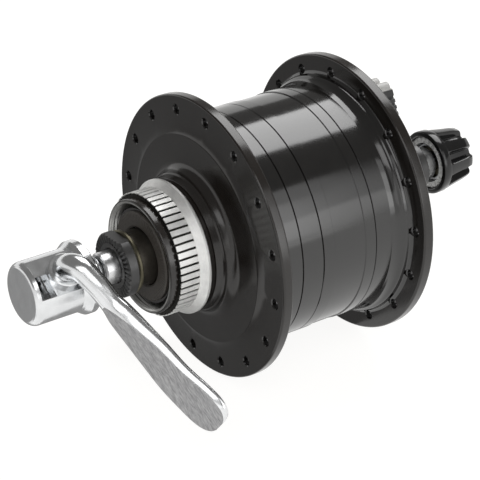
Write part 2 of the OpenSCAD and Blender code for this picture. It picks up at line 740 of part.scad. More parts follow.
module qr_housing() {
    corner = 2.1;
    bevel = 0.4;
    chord = 5.6;
    flat_y0 = -3.9;
    flat_y1 = barrel_end_y - cam_y - 1.65;
    window_y0 = bushing_r + 0.5;
    color([0.8, 0.81, 0.82])
        difference() {
            turned(concat(
                [[0, collar_y], [collar_r - bevel, collar_y], [collar_r, collar_y + bevel],
                 [collar_r, collar_y + 2.2], [collar_r - 0.3, collar_y + 2.7], [barrel_r + 0.25, collar_y + 3.8],
                 [barrel_r, collar_y + 4.6]],
                arc(barrel_r - corner, barrel_end_y - corner, corner, 0, 90, 7),
                [[0, barrel_end_y]]
            ));
            bar_y(grip_r, collar_y - past, grip_seat_y);
            bar_y(6.2, collar_y - past, recess_end_y);
            cam_frame() {
                // Slot that the rod's eye slides in
                translate([-5.4, recess_end_y - cam_y - 0.1, -slot_half])
                    cube([10.8, slot_end_y - recess_end_y + 0.1, 2 * slot_half]);
                // Milled flat round the bushing, and the window through it
                translate([-chord - past, flat_y0, flat_z]) cube([2 * chord + 2 * past, flat_y1 - flat_y0, barrel_r]);
                translate([-5.4, window_y0, 0]) cube([6.4, flat_y1 - window_y0, barrel_r]);
                cylinder(h = barrel_r, r = bushing_r, $fn = round_fn);
                translate([0, 0, flat_z]) cylinder(h = barrel_r, r = bushing_head_r + 0.05, $fn = round_fn);
                translate([0, 0, -barrel_r - past]) cylinder(h = barrel_r + past, r = pivot_d / 2 + running, $fn = round_fn);
                translate([0, 0, -barrel_r - past]) cylinder(h = barrel_r + past + clip_z, r = clip_r + 0.3, $fn = round_fn);
            }
            // Small dimple in the collar
            around(1, 42 + 180) translate([-collar_r, collar_y + 1.3, 0]) rotate([0, 90, 0]) cylinder(h = 1, r = 0.7, $fn = 32);
        }
}

module cam_bushing() color([0.84, 0.85, 0.85])
    cam_frame() difference() {
        union() {
            translate([0, 0, slot_half + 0.1]) cylinder(h = flat_z - slot_half - 0.1, r = bushing_r, $fn = round_fn);
            translate([0, 0, flat_z]) cylinder(h = bushing_head_z - flat_z - 0.3, r = bushing_head_r, $fn = round_fn);
            translate([0, 0, bushing_head_z - 0.3]) cylinder(h = 0.3, r1 = bushing_head_r, r2 = bushing_head_r - 0.3, $fn = round_fn);
        }
        cylinder(h = bushing_head_z + past, r = journal_r + running, $fn = round_fn);
    }

// Steel ring that bites the dropout: its back lies at 0 and its toothed face looks along +Y
module grip_ring() {
    face_y = grip_ring_h;
    depth = 0.32;
    bevel = 0.5;
    color([0.7, 0.71, 0.72])
        difference() {
            turned([
                [grip_bore_r, 0], [grip_r, 0], [grip_r, face_y - bevel],
                [grip_r - bevel, face_y], [grip_bore_r, face_y]
            ]);
            around(grip_teeth, 90 / grip_teeth) translate([grip_bore_r + 0.25, face_y, 0]) rotate([45, 0, 0])
                translate([0, -depth, -depth]) cube([grip_r, 2 * depth, 2 * depth]);
        }
}

module housing_grip_ring() translate([0, grip_seat_y, 0]) rotate([180, 0, 0]) grip_ring();

// Conical coil spring: a wire of ring_sides corners swept along a helix whose radius grows
module volute(y0, y1, r0, r1, turns) {
    steps_per_turn = 18;
    ring_sides = 6;
    steps = turns * steps_per_turn;
    wire_r = spring_wire_d / 2;
    points = [
        for (i = [0 : steps]) let(t = i / steps, a = 360 * turns * t, r = r0 + (r1 - r0) * t, y = y0 + (y1 - y0) * t)
            for (k = [0 : ring_sides - 1]) let(b = 360 * k / ring_sides)
                [(r + wire_r * cos(b)) * cos(a), y + wire_r * sin(b), (r + wire_r * cos(b)) * sin(a)]
    ];
    sides = [
        for (i = [0 : steps - 1]) for (k = [0 : ring_sides - 1]) let(n = (k + 1) % ring_sides, c = i * ring_sides)
            [c + k, c + n, c + ring_sides + n, c + ring_sides + k]
    ];
    end = steps * ring_sides;
    caps = [[for (k = [ring_sides - 1 : -1 : 0]) k], [for (k = [0 : ring_sides - 1]) end + k]];
    color([0.55, 0.56, 0.57]) polyhedron(points, concat(sides, caps), convexity = 6);
}

module volute_spring_left() {
    half = spring_wire_d / 2;
    volute(axle_end + free + half, recess_end_y - free - half, rod_r + free + half + 0.25, grip_bore_r - 0.25 - half, 3.5);
}

module volute_spring_right() {
    half = spring_wire_d / 2;
    volute(far_face_y - axle_end - 0.25 - half, nut_core_y + half + 0.1, rod_r + free + half + 0.25, grip_bore_r - 0.25 - half, 2);
}

// Lever arm stations: reach, sideways, height along the cam axis, width, thickness, height of the flat, tilt
function lever_stations() = let(e = lever_reach, w = paddle_w, h = paddle_h, neck = journal_d - 0.9) [
    [5.6, -0.55, 12.1, neck + 0.1, neck, neck, -4],
    [9.5, -0.55, 11.85, neck - 0.1, neck - 0.2, neck, -4],
    [14.1, -0.4, 11.0, neck - 0.3, neck - 0.4, neck, -11],
    [17.5, -0.3, 10.3, neck, neck - 0.8, 2.35, -11],
    [21.6, -0.25, 9.5, w * 0.56, h + 1.5, 1.86, -11],
    [30, -0.05, 8.1, w * 0.81, h + 0.5, 1.15, -11],
    [e - 16.8, 0.4, 7.1, w * 0.97, h + 0.2, 0.75, -6],
    [e - 9.3, 0.35, 6.6, w, h, 0.8, -6],
    [e - 5.2, 0.5, 6.4, w * 0.93, h - 0.1, 0.75, -2],
    [e - 2.4, 0.6, 6.4, w * 0.74, h - 0.5, 0.7, -2],
    [e - 0.7, 0.7, 6.4, w * 0.42, h - 1, 0.6, -2],
    [e, 0.75, 6.4, w * 0.14, h - 1.8, 0.4, -2]
];

// The elbow turns the round shaft from the cam axis into the arm
function elbow_stations() = let(r = 4, z0 = bushing_head_z + 0.05, d = journal_d - 0.1) concat(
    [[0, 0, bushing_head_z - 0.3, d, d, d, 90]],
    [for (i = [0 : 5]) let(a = 90 - i * 18) [r - r * sin(a), -0.1 * i, z0 + r * cos(a), d - 0.12 * i, d - 0.14 * i, d, a]]
);

// Ring of points round one station: an ellipse whose outer side is cut by the flat
function lever_ring(s, sides) = [
    for (k = [0 : sides - 1])
        let(a = 360 * k / sides, w = s[3] / 2 * cos(a), h = min(s[4] / 2 * sin(a), s[5]))
        [s[0] - w * sin(s[6]), s[1] + h, s[2] + w * cos(s[6])]
];

module lever_arm() {
    sides = 24;
    rings = [for (s = concat(elbow_stations(), lever_stations())) lever_ring(s, sides)];
    points = [for (ring = rings) each ring];
    last = (len(rings) - 1) * sides;
    quads = [
        for (i = [0 : len(rings) - 2]) for (k = [0 : sides - 1])
            let(n = (k + 1) % sides, c = i * sides) [c + k, c + n, c + sides + n, c + sides + k]
    ];
    caps = [[for (k = [sides - 1 : -1 : 0]) k], [for (k = [0 : sides - 1]) last + k]];
    polyhedron(points, concat(quads, caps), convexity = 4);
}

module qr_lever() {
    arm_angle = 20.5;
    color([0.83, 0.84, 0.85])
        cam_frame() {
            rotate([0, 0, 180 + arm_angle]) mirror([0, 1, 0]) lever_arm();
            translate([0, 0, eye_half + 0.25]) cylinder(h = bushing_head_z - eye_half - 0.25, r = journal_r, $fn = round_fn);
            translate([0, cam_throw, -eye_half - 0.25]) cylinder(h = 2 * eye_half + 0.5, r = cam_r, $fn = round_fn);
            translate([0, 0, clip_z - 0.9]) cylinder(h = -clip_z + 0.9, r = pivot_d / 2, $fn = round_fn);
        }
}

module cam_clip() color([0.3, 0.3, 0.32])
    cam_frame() translate([0, 0, clip_z - clip_h]) difference() {
        cylinder(h = clip_h, r = clip_r, $fn = round_fn);
        translate([0, 0, -past]) cylinder(h = clip_h + 2 * past, r = pivot_d / 2, $fn = round_fn);
    }

// Skewer rod: a round shank and a flat eye round the cam
module skewer_rod() {
    outer_r = eye_slot_r + eye_wall;
    side = 0.35;
    color([0.68, 0.69, 0.7])
        difference() {
            union() {
                bar_y(rod_r, rod_end_y, cam_y + cam_throw - outer_r + 0.6);
                cam_frame() translate([0, cam_throw, -eye_half]) linear_extrude(2 * eye_half) {
                    for (x = [-side, side]) translate([x, 0]) circle(r = outer_r, $fn = round_fn);
                    square([2 * side, 2 * outer_r], center = true);
                }
            }
            cam_frame() translate([0, cam_throw, -eye_half - past]) linear_extrude(2 * eye_half + 2 * past) {
                for (x = [-eye_slot_x, eye_slot_x]) translate([x, 0]) circle(r = eye_slot_r, $fn = round_fn);
                square([2 * eye_slot_x, 2 * eye_slot_r], center = true);
            }
        }
}

// Quick-release nut

module nut_core() color([0.6, 0.6, 0.58])
    turned([
        [rod_r + running, nut_floor_y], [nut_core_r, nut_floor_y],
        [nut_core_r, nut_core_y], [rod_r + running + 0.3, nut_core_y], [rod_r + running, nut_core_y - 0.3]
    ]);

module nut_cap() {
    skirt_r = nut_skirt_d / 2;
    lobe_end_r = nut_lobe_d / 2;
    lobe_root_r = skirt_r - 0.2;
    valley_depth = 1.25;
    crest_half = 0.28 * 360 / nut_lobes;
    root_half = 0.44 * 360 / nut_lobes;
    phase = 131;
    // A rib of the star reaches past every lobe, the turned profile cuts it to the tapered crest
    star_r = skirt_r + past;
    star_root_r = lobe_end_r - 2.6;
    color([0.06, 0.06, 0.065])
        difference() {
            union() {
                turned([
                    [0, nut_end_y], [lobe_end_r - 2.6, nut_end_y], [lobe_end_r - valley_depth - 0.3, nut_end_y + 1],
                    [lobe_root_r - valley_depth, nut_neck_y - 0.9], [skirt_r, nut_neck_y],
                    [skirt_r, nut_skirt_y - 0.4], [skirt_r - 0.4, nut_skirt_y], [0, nut_skirt_y]
                ]);
                intersection() {
                    plate_y(nut_end_y, nut_neck_y + 0.3)
                        polygon([
                            for (i = [0 : nut_lobes - 1])
                                for (p = [[star_root_r, -root_half], [star_r, -crest_half],
                                          [star_r, crest_half], [star_root_r, root_half]])
                                    let(a = phase + i * 360 / nut_lobes + p[1]) [p[0] * cos(a), p[0] * sin(a)]
                        ]);
                    turned([
                        [0, nut_end_y + 0.2], [lobe_end_r - 1.5, nut_end_y + 0.2], [lobe_end_r - 0.6, nut_end_y + 0.8],
                        [lobe_end_r, nut_end_y + 2.4], [lobe_root_r, nut_neck_y - 0.7],
                        [lobe_root_r, nut_neck_y + 0.3], [0, nut_neck_y + 0.3]
                    ]);
                }
            }
            bar_y(grip_r, nut_seat_y, nut_skirt_y + past);
            bar_y(nut_core_r, nut_floor_y, nut_skirt_y + past);
        }
}

module nut_grip_ring() translate([0, nut_seat_y, 0]) grip_ring();

axle();
stator_core();
claw_pole_left();
claw_pole_right();
coil_bobbin();
coil_winding();
stator_clamp_nut();
lead_wires();
cone_left();
cone_right();
washer_left();
washer_right();
locknut_left();
locknut_right();
ball_set_left();
ball_set_right();
terminal_block();
terminal_cover();
terminal_contacts();
hub_shell();
end_cap();
spline_ring();
magnet_ring();
magnet_back_ring();
bearing_cup_left();
bearing_cup_right();
seal_left();
seal_right();
qr_housing();
cam_bushing();
housing_grip_ring();
volute_spring_left();
qr_lever();
cam_clip();
skewer_rod();
volute_spring_right();
nut_core();
nut_cap();
nut_grip_ring();
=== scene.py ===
import math

import bmesh
import bpy
from mathutils import Matrix, Vector


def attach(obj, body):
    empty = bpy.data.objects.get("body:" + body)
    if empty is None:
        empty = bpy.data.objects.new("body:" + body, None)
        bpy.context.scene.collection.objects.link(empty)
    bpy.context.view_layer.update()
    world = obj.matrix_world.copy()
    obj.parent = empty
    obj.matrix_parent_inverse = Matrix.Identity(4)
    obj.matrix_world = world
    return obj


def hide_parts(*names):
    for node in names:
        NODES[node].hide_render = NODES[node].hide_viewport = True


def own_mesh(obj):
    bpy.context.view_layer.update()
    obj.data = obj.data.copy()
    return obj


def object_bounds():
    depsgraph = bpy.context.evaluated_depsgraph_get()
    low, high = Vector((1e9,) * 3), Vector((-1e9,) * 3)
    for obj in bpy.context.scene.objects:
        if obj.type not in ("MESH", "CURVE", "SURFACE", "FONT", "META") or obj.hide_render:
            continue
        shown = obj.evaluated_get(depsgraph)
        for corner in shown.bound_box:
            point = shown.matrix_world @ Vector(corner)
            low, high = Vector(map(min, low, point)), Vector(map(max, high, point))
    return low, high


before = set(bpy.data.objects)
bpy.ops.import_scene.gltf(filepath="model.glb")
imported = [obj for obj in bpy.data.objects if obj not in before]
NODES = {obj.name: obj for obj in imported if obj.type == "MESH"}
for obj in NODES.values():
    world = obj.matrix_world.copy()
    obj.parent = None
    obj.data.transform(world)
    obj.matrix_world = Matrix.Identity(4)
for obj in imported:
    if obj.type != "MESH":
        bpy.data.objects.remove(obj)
CAD_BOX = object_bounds()
MM = 0.001
scene = bpy.context.scene

# The lever's measures in millimetres and its own directions: the cam axis, the arm and out of its flat
CAM_Y, CAM_LEAN, ARM_ANGLE = 16.15, math.radians(54.0), math.radians(20.5)
HEAD_Z, JOURNAL_D = 8.1, 7.12
REACH, PADDLE_W, PADDLE_H = 55.2, 15.0, 5.6
lean_cos, lean_sin = math.cos(CAM_LEAN), math.sin(CAM_LEAN)
CAM_SIDE, CAM_AXIS = Vector((lean_sin, 0, lean_cos)), Vector((-lean_cos, 0, lean_sin))
CAM_CENTRE = Vector((0, CAM_Y, 0))
arm_cos, arm_sin = math.cos(ARM_ANGLE), math.sin(ARM_ANGLE)
ARM = CAM_SIDE * -arm_cos + Vector((0, -arm_sin, 0))
OUT = CAM_SIDE * -arm_sin + Vector((0, arm_cos, 0))

# Metres in a material's coordinates for one radian round the axle: so small that noise becomes rings
ANGLE_SCALE = 0.0015
# The colour sockets of a Mix node, which also has sockets for its other kinds of value
MIX_A, MIX_B, MIX_RESULT = 6, 7, 2


class Mat:
    """A node material with helpers for procedural detail."""

    def __init__(self, name):
        self.mat = bpy.data.materials.new(name)
        self.mat.use_nodes = True
        self.tree = self.mat.node_tree
        self.tree.nodes.clear()
        self.out = self.new("ShaderNodeOutputMaterial")
        self.bsdf = self.new("ShaderNodeBsdfPrincipled")
        self.link(self.bsdf.outputs[0], self.out.inputs[0])
        self.coord = self.new("ShaderNodeTexCoord").outputs["Object"]
        self.heights = []

    def new(self, kind, **facts):
        node = self.tree.nodes.new(kind)
        for key, value in facts.items():
            setattr(node, key, value)
        return node

    def link(self, a, b):
        self.tree.links.new(a, b)

    def set(self, **values):
        for key, value in values.items():
            self.bsdf.inputs[key.replace("_", " ")].default_value = value

    def math(self, op, *values):
        """A math node of this kind, fed with sockets or plain numbers."""
        node = self.new("ShaderNodeMath", operation=op)
        for i, v in enumerate(values):
            if isinstance(v, (int, float)):
                node.inputs[i].default_value = v
            else:
                self.link(v, node.inputs[i])
        return node.outputs[0]

    def mixed(self, a, b, share):
        """This share of a, and the rest of b."""
        return self.math("ADD", self.math("MULTIPLY", a, share), self.math("MULTIPLY", b, 1 - share))

    def noise(self, scale, detail=3.0, rough=0.5, stretch=(1, 1, 1), vector=None):
        """Noise in the object's own coordinates, unless it is given others."""
        mapping = self.new("ShaderNodeMapping")
        mapping.inputs["Scale"].default_value = stretch
        self.link(vector or self.coord, mapping.inputs["Vector"])
        node = self.new("ShaderNodeTexNoise")
        node.inputs["Scale"].default_value = scale
        node.inputs["Detail"].default_value = detail
        node.inputs["Roughness"].default_value = rough
        self.link(mapping.outputs[0], node.inputs["Vector"])
        return node.outputs["Fac"]

    def polar(self):
        """Coordinates (radius, y, angle) round the hub's axis as a vector, then each by itself."""
        sep = self.new("ShaderNodeSeparateXYZ")
        self.link(self.coord, sep.inputs[0])
        x, y, z = sep.outputs
        squares = self.math("ADD", self.math("MULTIPLY", x, x), self.math("MULTIPLY", z, z))
        r = self.math("SQRT", squares)
        a = self.math("ARCTAN2", z, x)
        comb = self.new("ShaderNodeCombineXYZ")
        self.link(r, comb.inputs[0])
        self.link(y, comb.inputs[1])
        self.link(self.math("MULTIPLY", a, ANGLE_SCALE), comb.inputs[2])
        return comb.outputs[0], r, y, a

    def ramp(self, fac, stops):
        """Colours between two stops of (position, colour)."""
        node = self.new("ShaderNodeValToRGB")
        for el, (pos, value) in zip(node.color_ramp.elements, stops):
            el.position = pos
            el.color = (*value, 1.0)
        self.link(fac, node.inputs[0])
        return node.outputs[0]

    def color(self, fac, low, high, start=0.3, end=0.7):
        """The base colour runs from low to high while fac goes from start to end."""
        self.link(self.ramp(fac, [(start, low), (end, high)]), self.bsdf.inputs["Base Color"])

    def rough(self, fac, low, high, start=0.3, end=0.7):
        """The roughness runs from low to high while fac goes from start to end."""
        span = self.new("ShaderNodeMapRange")
        for key, value in (("From Min", start), ("From Max", end), ("To Min", low), ("To Max", high)):
            span.inputs[key].default_value = value
        self.link(fac, span.inputs["Value"])
        self.link(span.outputs[0], self.bsdf.inputs["Roughness"])

    def height(self, fac, strength, distance):
        self.heights.append((fac, strength, distance))

    def done(self):
        """Chains the heights as bumps and gives the finished material."""
        normal = None
        for fac, strength, distance in self.heights:
            bump = self.new("ShaderNodeBump")
            bump.inputs["Strength"].default_value = strength
            bump.inputs["Distance"].default_value = distance
            self.link(fac, bump.inputs["Height"])
            if normal is not None:
                self.link(normal, bump.inputs["Normal"])
            normal = bump.outputs[0]
        if normal is not None:
            self.link(normal, self.bsdf.inputs["Normal"])
        return self.mat


RING_SHARE = 0.45
FINE_RELIEF, GRAIN_RELIEF, RIB_RELIEF = 0.00002, 0.00003, 0.00008


def turned_material(name, low, high, metallic, rough, groove, spec=0.5, fine=9000.0):
    """A lathe-turned surface: very fine rings round the axle, with a soft mottle."""
    m = Mat(name)
    m.set(Metallic=metallic, Specular_IOR_Level=spec)
    rings = m.noise(fine, 4.0, 0.6, vector=m.polar()[0])
    mottle = m.noise(260.0, 3.0, 0.55)
    m.color(m.mixed(rings, mottle, RING_SHARE), low, high)
    m.rough(rings, rough * 0.85, rough * 1.2)
    m.height(rings, groove, FINE_RELIEF)
    return m.done()


def satin_steel(name, low, high, rough, grain=0.25, scale=900.0, metallic=1.0):
    """Metal with a fine grain and a broad unevenness in equal shares."""
    m = Mat(name)
    m.set(Metallic=metallic)
    grainy = m.noise(scale, 5.0, 0.65)
    broad = m.noise(120.0, 3.0, 0.5)
    m.color(m.mixed(grainy, broad, 0.5), low, high)
    m.rough(grainy, rough * 0.8, rough * 1.25)
    m.height(grainy, grain, GRAIN_RELIEF)
    return m.done()


def plastic(name, low, high, rough, grain=0.2, scale=1500.0, coat=0.0, spec=0.5):
    """Moulded plastic or blackened steel: a fine grain over broad soft clouds."""
    m = Mat(name)
    m.set(Metallic=0.0, Specular_IOR_Level=spec, Coat_Weight=coat, Coat_Roughness=0.05)
    fine = m.noise(scale, 3.0, 0.6)
    broad = m.noise(150.0, 2.0, 0.5)
    m.color(m.mixed(fine, broad, 0.4), low, high)
    m.rough(fine, rough * 0.85, rough * 1.2)
    m.height(fine, grain, FINE_RELIEF)
    return m.done()


BLACK_GLOSS = turned_material(
    "black_anodised", (0.006, 0.0055, 0.005), (0.012, 0.011, 0.010),
    metallic=0.0, rough=0.12, groove=0.05, spec=0.84)
BLACK_FACE = turned_material(
    "black_anodised_face", (0.014, 0.011, 0.009), (0.024, 0.020, 0.017),
    metallic=0.0, rough=0.18, groove=0.08, spec=0.58)
BRIGHT_TURNED = turned_material(
    "bright_turned", (0.34, 0.34, 0.33), (0.62, 0.62, 0.60),
    metallic=1.0, rough=0.30, groove=0.3, fine=7000.0)


def chrome(name):
    """Plated steel with a faint unevenness."""
    m = Mat(name)
    m.set(Metallic=1.0)
    uneven = m.noise(300.0, 3.0, 0.5)
    m.color(uneven, (0.72, 0.73, 0.74), (0.80, 0.81, 0.82))
    m.rough(uneven, 0.17, 0.23)
    return m.done()


CHROME = chrome("chrome")
# Painted shade: the tooth gaps below this radius and in front of this place get a near-black colour
GAP_FLOOR_R, TEETH_BACK_Y, GAP_SHADE_COLOR = 0.01652, -0.0161, (0.05, 0.048, 0.044, 1.0)


def machined_teeth(name):
    """Machined steel teeth, with painted shade darkening the bottom of their gaps."""
    m = Mat(name)
    m.set(Metallic=1.0)
    turned_round, r, y, _ = m.polar()
    rings = m.noise(7000.0, 4.0, 0.6, vector=turned_round)
    mottle = m.noise(420.0, 3.0, 0.6)
    grey, bright = (0.74, 0.74, 0.73), (0.96, 0.96, 0.94)
    tone = m.ramp(m.mixed(rings, mottle, RING_SHARE), [(0.3, grey), (0.7, bright)])
    # Painted shade at the bottom of the gaps between the teeth
    low_down, in_front = m.math("LESS_THAN", r, GAP_FLOOR_R), m.math("GREATER_THAN", y, TEETH_BACK_Y)
    shaded_gap = m.math("MULTIPLY", low_down, in_front)
    mix = m.new("ShaderNodeMix", data_type="RGBA")
    m.link(shaded_gap, mix.inputs[0])
    m.link(tone, mix.inputs[MIX_A])
    mix.inputs[MIX_B].default_value = GAP_SHADE_COLOR
    m.link(mix.outputs[MIX_RESULT], m.bsdf.inputs["Base Color"])
    m.rough(rings, 0.46, 0.60)
    m.height(rings, 0.35, FINE_RELIEF)
    return m.done()


RIBS_IN_R, RIBS_OUT_R, RIBS_ROUND, RINGS_PER_METRE = 0.0101, 0.0116, 90.0, 9000.0


def ribbed_seal(name):
    """Moulded rubber with low radial ribs and rings round the axle."""
    m = Mat(name)
    m.set(Metallic=0.0, Specular_IOR_Level=0.45)
    _, r, _, a = m.polar()
    fine = m.noise(1800.0, 3.0, 0.6)
    m.color(fine, (0.07, 0.062, 0.054), (0.13, 0.118, 0.105))
    m.rough(fine, 0.42, 0.58)
    ribs = m.math("SINE", m.math("MULTIPLY", a, RIBS_ROUND))
    outside, inside = m.math("GREATER_THAN", r, RIBS_IN_R), m.math("LESS_THAN", r, RIBS_OUT_R)
    band = m.math("MULTIPLY", outside, inside)
    m.height(m.math("MULTIPLY", ribs, band), 0.5, RIB_RELIEF)
    m.height(m.math("SINE", m.math("MULTIPLY", r, RINGS_PER_METRE)), 0.12, GRAIN_RELIEF)
    m.height(fine, 0.25, GRAIN_RELIEF)
    return m.done()


def brushed_flat(name):
    """Belt-sanded steel: fine broken scratches that run slantwise down the lever's flat."""
    m = Mat(name)
    m.set(Metallic=1.0)
    own = m.new("ShaderNodeCombineXYZ")
    across, along = (ARM * 0.5 + CAM_AXIS).normalized(), (ARM - CAM_AXIS * 0.5).normalized()
    for i, axis in enumerate((across, OUT, along)):
        dot = m.new("ShaderNodeVectorMath", operation="DOT_PRODUCT")
        m.link(m.coord, dot.inputs[0])
        dot.inputs[1].default_value = axis
        m.link(dot.outputs["Value"], own.inputs[i])
    lines = m.noise(5200.0, 3.0, 0.6, (1.0, 1.0, 0.13), own.outputs[0])
    blots = m.noise(1700.0, 3.0, 0.6, (1.0, 1.0, 0.22), own.outputs[0])
    m.color(m.mixed(lines, blots, 0.65), (0.20, 0.20, 0.205), (0.46, 0.46, 0.465), 0.38, 0.62)
    m.rough(lines, 0.36, 0.52)
    m.height(lines, 0.6, GRAIN_RELIEF)
    return m.done()


BRUSHED = brushed_flat("brushed_flat")

MATERIALS = {
    "housing_grip_ring": satin_steel(
        "grip_ring_steel", (0.80, 0.80, 0.79), (0.95, 0.95, 0.94),
        rough=0.6, grain=0.4, scale=2600.0, metallic=0.7),
    "axle": satin_steel("zinc_steel", (0.50, 0.51, 0.52), (0.80, 0.80, 0.80), 0.3, 0.3),
    "stator_core": satin_steel("core_iron", (0.3, 0.3, 0.31), (0.45, 0.45, 0.46), 0.45),
    "claw_pole_left": satin_steel("claw_iron", (0.4, 0.4, 0.41), (0.6, 0.6, 0.61), 0.38),
    "coil_bobbin": plastic("bobbin_plastic", (0.66, 0.63, 0.54), (0.72, 0.69, 0.6), 0.5),
    "coil_winding": satin_steel("copper_winding", (0.55, 0.2, 0.07), (0.8, 0.36, 0.14), 0.35),
    "lead_wires": plastic("wire_sleeve", (0.5, 0.03, 0.02), (0.62, 0.05, 0.03), 0.45),
    "cone_left": turned_material(
        "black_steel_cone", (0.05, 0.044, 0.036), (0.13, 0.118, 0.10),
        metallic=0.8, rough=0.36, groove=0.2),
    "washer_left": satin_steel("olive_zinc", (0.07, 0.065, 0.045), (0.17, 0.155, 0.11), 0.35, 0.3),
    "locknut_left": plastic(
        "black_steel", (0.022, 0.022, 0.022), (0.044, 0.043, 0.042),
        rough=0.34, grain=0.25, scale=1200.0, spec=0.7),
    "ball_set_left": satin_steel("ball_steel", (0.75, 0.76, 0.78), (0.85, 0.86, 0.87), 0.08, 0.02),
    "terminal_block": plastic("black_plastic", (0.02, 0.02, 0.021), (0.035, 0.035, 0.036), 0.4, 0.3),
    "terminal_cover": plastic("grey_plastic", (0.58, 0.575, 0.56), (0.68, 0.675, 0.66), 0.42, 0.25),
    "terminal_contacts": satin_steel("contact_brass", (0.72, 0.48, 0.16), (0.85, 0.6, 0.25), 0.25, 0.1),
    "spline_ring": machined_teeth("machined_steel"),
    "magnet_ring": plastic("ferrite", (0.02, 0.02, 0.021), (0.05, 0.05, 0.051), 0.6, 0.5),
    "seal_left": ribbed_seal("seal_rubber"),
    "volute_spring_left": satin_steel("spring_steel", (0.4, 0.41, 0.42), (0.6, 0.61, 0.62), 0.3, 0.1),
    "nut_cap": plastic(
        "gloss_black_plastic", (0.007, 0.007, 0.007), (0.014, 0.014, 0.014),
        rough=0.15, grain=0.05, coat=0.15, spec=0.4),
    "hub_shell": BLACK_GLOSS, "end_cap": BLACK_FACE,
    "qr_housing": CHROME, "qr_lever": CHROME, "cam_bushing": CHROME,
}
SAME = {
    "claw_pole_right": "claw_pole_left", "stator_clamp_nut": "axle", "cone_right": "cone_left",
    "washer_right": "washer_left", "locknut_right": "locknut_left", "ball_set_right": "ball_set_left",
    "magnet_back_ring": "stator_core", "bearing_cup_left": "ball_set_left",
    "bearing_cup_right": "ball_set_left", "seal_right": "seal_left", "cam_clip": "volute_spring_left",
    "skewer_rod": "axle", "volute_spring_right": "volute_spring_left", "nut_core": "washer_left",
    "nut_grip_ring": "housing_grip_ring",
}
for node, like in SAME.items():
    MATERIALS[node] = MATERIALS[like]
for name, obj in NODES.items():
    obj.data.materials.clear()
    obj.data.materials.append(MATERIALS[name])

# Radii in millimetres of the rounded edges on the CAD's own meshes
EDGES = {
    "terminal_block": 0.15, "terminal_cover": 0.15, "locknut_left": 0.12, "locknut_right": 0.12,
    "spline_ring": 0.09, "cam_bushing": 0.12, "housing_grip_ring": 0.06, "nut_grip_ring": 0.06,
    "cone_left": 0.15,
}
SHARP_FROM = 35.0
for name, width in EDGES.items():
    bevel = NODES[name].modifiers.new("rounded_edges", "BEVEL")
    bevel.width, bevel.segments, bevel.limit_method = width * MM, 2, "ANGLE"
    bevel.angle_limit = math.radians(SHARP_FROM)
    bevel.use_clamp_overlap = True
    even = NODES[name].modifiers.new("even_faces", "WEIGHTED_NORMAL")
    even.keep_sharp = True


def new_mesh(name, verts, faces, tones=None):
    """A mesh from points in millimetres, with its faces turned outwards."""
    mesh = bpy.data.meshes.new(name)
    mesh.from_pydata([tuple(c * MM for c in v) for v in verts], [], faces)
    if tones:
        mesh.polygons.foreach_set("material_index", tones)
    mesh.update()
    bm = bmesh.new()
    bm.from_mesh(mesh)
    bmesh.ops.recalc_face_normals(bm, faces=bm.faces)
    bm.to_mesh(mesh)
    bm.free()
    return mesh


def carve(obj, tools):
    """Cuts closed shapes (verts, faces) in millimetres out of a mesh object."""
    for verts, faces in tools:
        tool = bpy.data.objects.new("tool", new_mesh("tool", verts, faces))
        scene.collection.objects.link(tool)
        cut = obj.modifiers.new("cut", "BOOLEAN")
        cut.object, cut.solver, cut.material_mode = tool, "EXACT", "INDEX"
        old = obj.data
        graph = bpy.context.evaluated_depsgraph_get()
        obj.data = bpy.data.meshes.new_from_object(obj.evaluated_get(graph))
        obj.modifiers.clear()
        bpy.data.meshes.remove(old)
        bpy.data.meshes.remove(tool.data)


def mesh_piece(name, verts, faces, material, body, smooth_angle, tools=(), tones=None, more=()):
    """A new mesh object in millimetres that rides on a body; tones pick faces for more materials."""
    obj = bpy.data.objects.new(name, new_mesh(name, verts, faces, tones))
    scene.collection.objects.link(obj)
    for m in (material, *more):
        obj.data.materials.append(m)
    if tools:
        carve(obj, tools)
        obj.data.name = name
    obj.data.shade_smooth()
    obj.data.set_sharp_from_angle(angle=math.radians(smooth_angle))
    even = obj.modifiers.new("even_faces", "WEIGHTED_NORMAL")
    even.keep_sharp = True
    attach(obj, body)
    return obj


def arc(cx, cy, r, a0, a1, n):
    """Points of an arc for a turned outline, with its angles in degrees."""
    angles = [math.radians(a0 + (a1 - a0) * i / n) for i in range(n + 1)]
    return [(cx + r * math.cos(a), cy + r * math.sin(a)) for a in angles]


def tube_faces(rings, sides):
    """Faces between rings of points, each of this many sides, then the two ends."""
    faces = []
    for i in range(rings - 1):
        for k in range(sides):
            n = (k + 1) % sides
            faces.append((i * sides + k, i * sides + n, (i + 1) * sides + n, (i + 1) * sides + k))
    faces.append(tuple(range(sides))[::-1])
    faces.append(tuple((rings - 1) * sides + k for k in range(sides)))
    return faces


def turned(outline, sides=256):
    """A closed outline of (radius, y) turned round the axle: points, faces, each face's outline place."""
    verts, faces, places = [], [], []
    count = len(outline)
    rings = []
    for r, y in outline:
        if r < 1e-6:
            rings.append([len(verts)] * sides)
            verts.append((0.0, y, 0.0))
            continue
        rings.append(list(range(len(verts), len(verts) + sides)))
        for k in range(sides):
            a = 2 * math.pi * k / sides
            verts.append((r * math.cos(a), y, r * math.sin(a)))
    for i in range(count):
        a, b = rings[i], rings[(i + 1) % count]
        if a[0] == a[1] and b[0] == b[1]:
            continue
        for k in range(sides):
            n = (k + 1) % sides
            face = [a[k], a[n], b[n], b[k]]
            faces.append(tuple(dict.fromkeys(face)))
            places.append(i)
    return verts, faces, places


